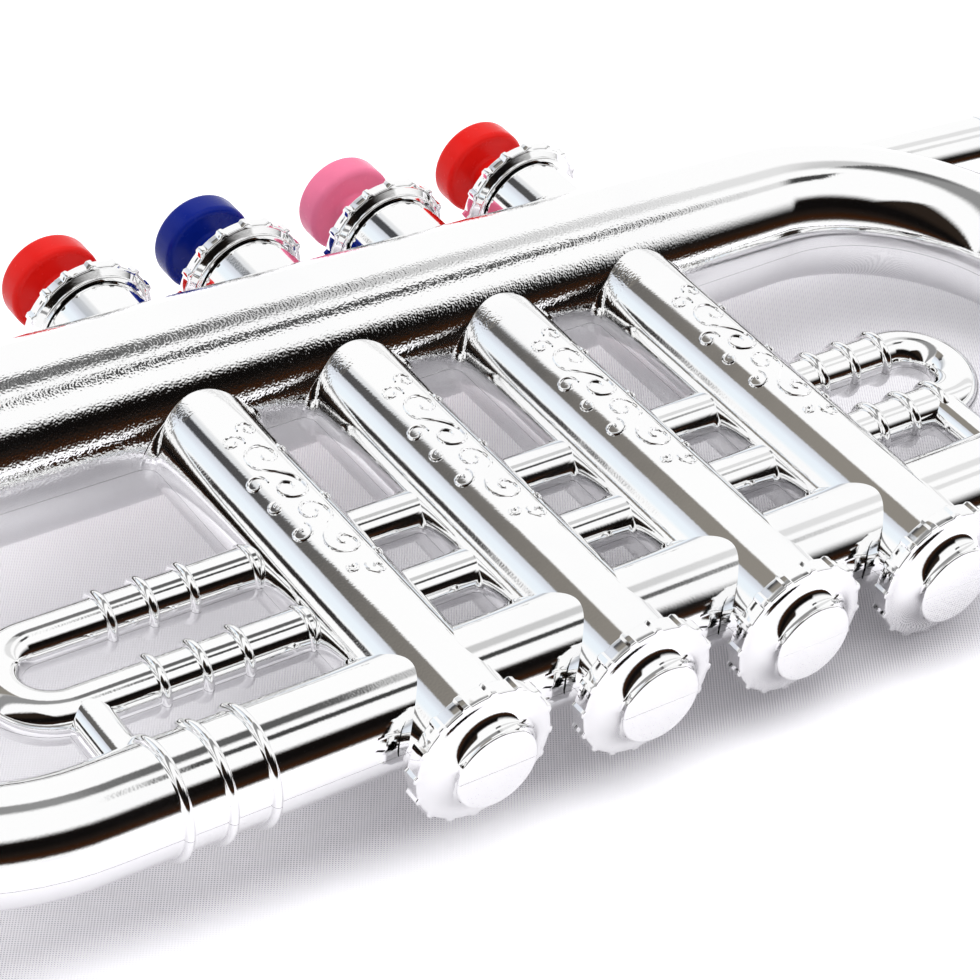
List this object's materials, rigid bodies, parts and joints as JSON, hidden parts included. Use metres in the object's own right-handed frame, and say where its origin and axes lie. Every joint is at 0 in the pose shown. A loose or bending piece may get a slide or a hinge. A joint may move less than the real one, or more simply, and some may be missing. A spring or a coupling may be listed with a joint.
{
  "type": "toy trumpet",
  "caption": "Silver toy trumpet with a racetrack loop of tube, a flared bell, a cup mouthpiece and coloured spring-return keys that open the air to hidden reeds.",
  "frame": {"origin": "middle of the bounding box, on the parting plane of the two body shells", "axes": "+X along the top tube from the bell to the mouthpiece, +Y along the valves towards the keys, +Z square to the parting plane"},
  "size_m": [0.3716, 0.1354, 0.092],
  "materials": {
    "silver_plating": "bright metallised coating on moulded plastic, with a fine grain",
    "key_red": "glossy moulded red",
    "key_blue": "glossy moulded blue",
    "key_pink": "glossy moulded pink",
    "white_plastic": "plain moulded white",
    "pad_rubber": "soft black rubber",
    "spring_steel": "drawn wire",
    "reed_brass": "thin rolled brass"
  },
  "bodies": {
    "trumpet_body": {"body_shell_upper": "silver_plating", "body_shell_lower": "silver_plating", "bell": "silver_plating", "mouthpiece": "silver_plating", "reed_block_1": "white_plastic", "reed_1": "reed_brass", "top_cap_1": "silver_plating", "bottom_cap_1": "silver_plating", "return_spring_1": "spring_steel", "reed_block_2": "white_plastic", "reed_2": "reed_brass", "top_cap_2": "silver_plating", "bottom_cap_2": "silver_plating", "return_spring_2": "spring_steel", "reed_block_3": "white_plastic", "reed_3": "reed_brass", "top_cap_3": "silver_plating", "bottom_cap_3": "silver_plating", "return_spring_3": "spring_steel", "reed_block_4": "white_plastic", "reed_4": "reed_brass", "top_cap_4": "silver_plating", "bottom_cap_4": "silver_plating", "return_spring_4": "spring_steel"},
    "key_assembly_1": {"key_1": "key_red", "key_rod_1": "white_plastic", "seal_pad_1": "pad_rubber"},
    "key_assembly_2": {"key_2": "key_blue", "key_rod_2": "white_plastic", "seal_pad_2": "pad_rubber"},
    "key_assembly_3": {"key_3": "key_pink", "key_rod_3": "white_plastic", "seal_pad_3": "pad_rubber"},
    "key_assembly_4": {"key_4": "key_red", "key_rod_4": "white_plastic", "seal_pad_4": "pad_rubber"}
  },
  "joints": [
    {"name": "key_1_press", "type": "slide", "parent": "trumpet_body", "child": "key_assembly_1", "axis": [0, -1, 0], "range_m": [0, 0.0065], "stiffness_N_per_m": 330, "springref_m": -0.003, "deforming": ["return_spring_1"]},
    {"name": "key_2_press", "type": "slide", "parent": "trumpet_body", "child": "key_assembly_2", "axis": [0, -1, 0], "range_m": [0, 0.0065], "stiffness_N_per_m": 330, "springref_m": -0.003, "deforming": ["return_spring_2"]},
    {"name": "key_3_press", "type": "slide", "parent": "trumpet_body", "child": "key_assembly_3", "axis": [0, -1, 0], "range_m": [0, 0.0065], "stiffness_N_per_m": 330, "springref_m": -0.003, "deforming": ["return_spring_3"]},
    {"name": "key_4_press", "type": "slide", "parent": "trumpet_body", "child": "key_assembly_4", "axis": [0, -1, 0], "range_m": [0, 0.0065], "stiffness_N_per_m": 330, "springref_m": -0.003, "deforming": ["return_spring_4"]}
  ]
}
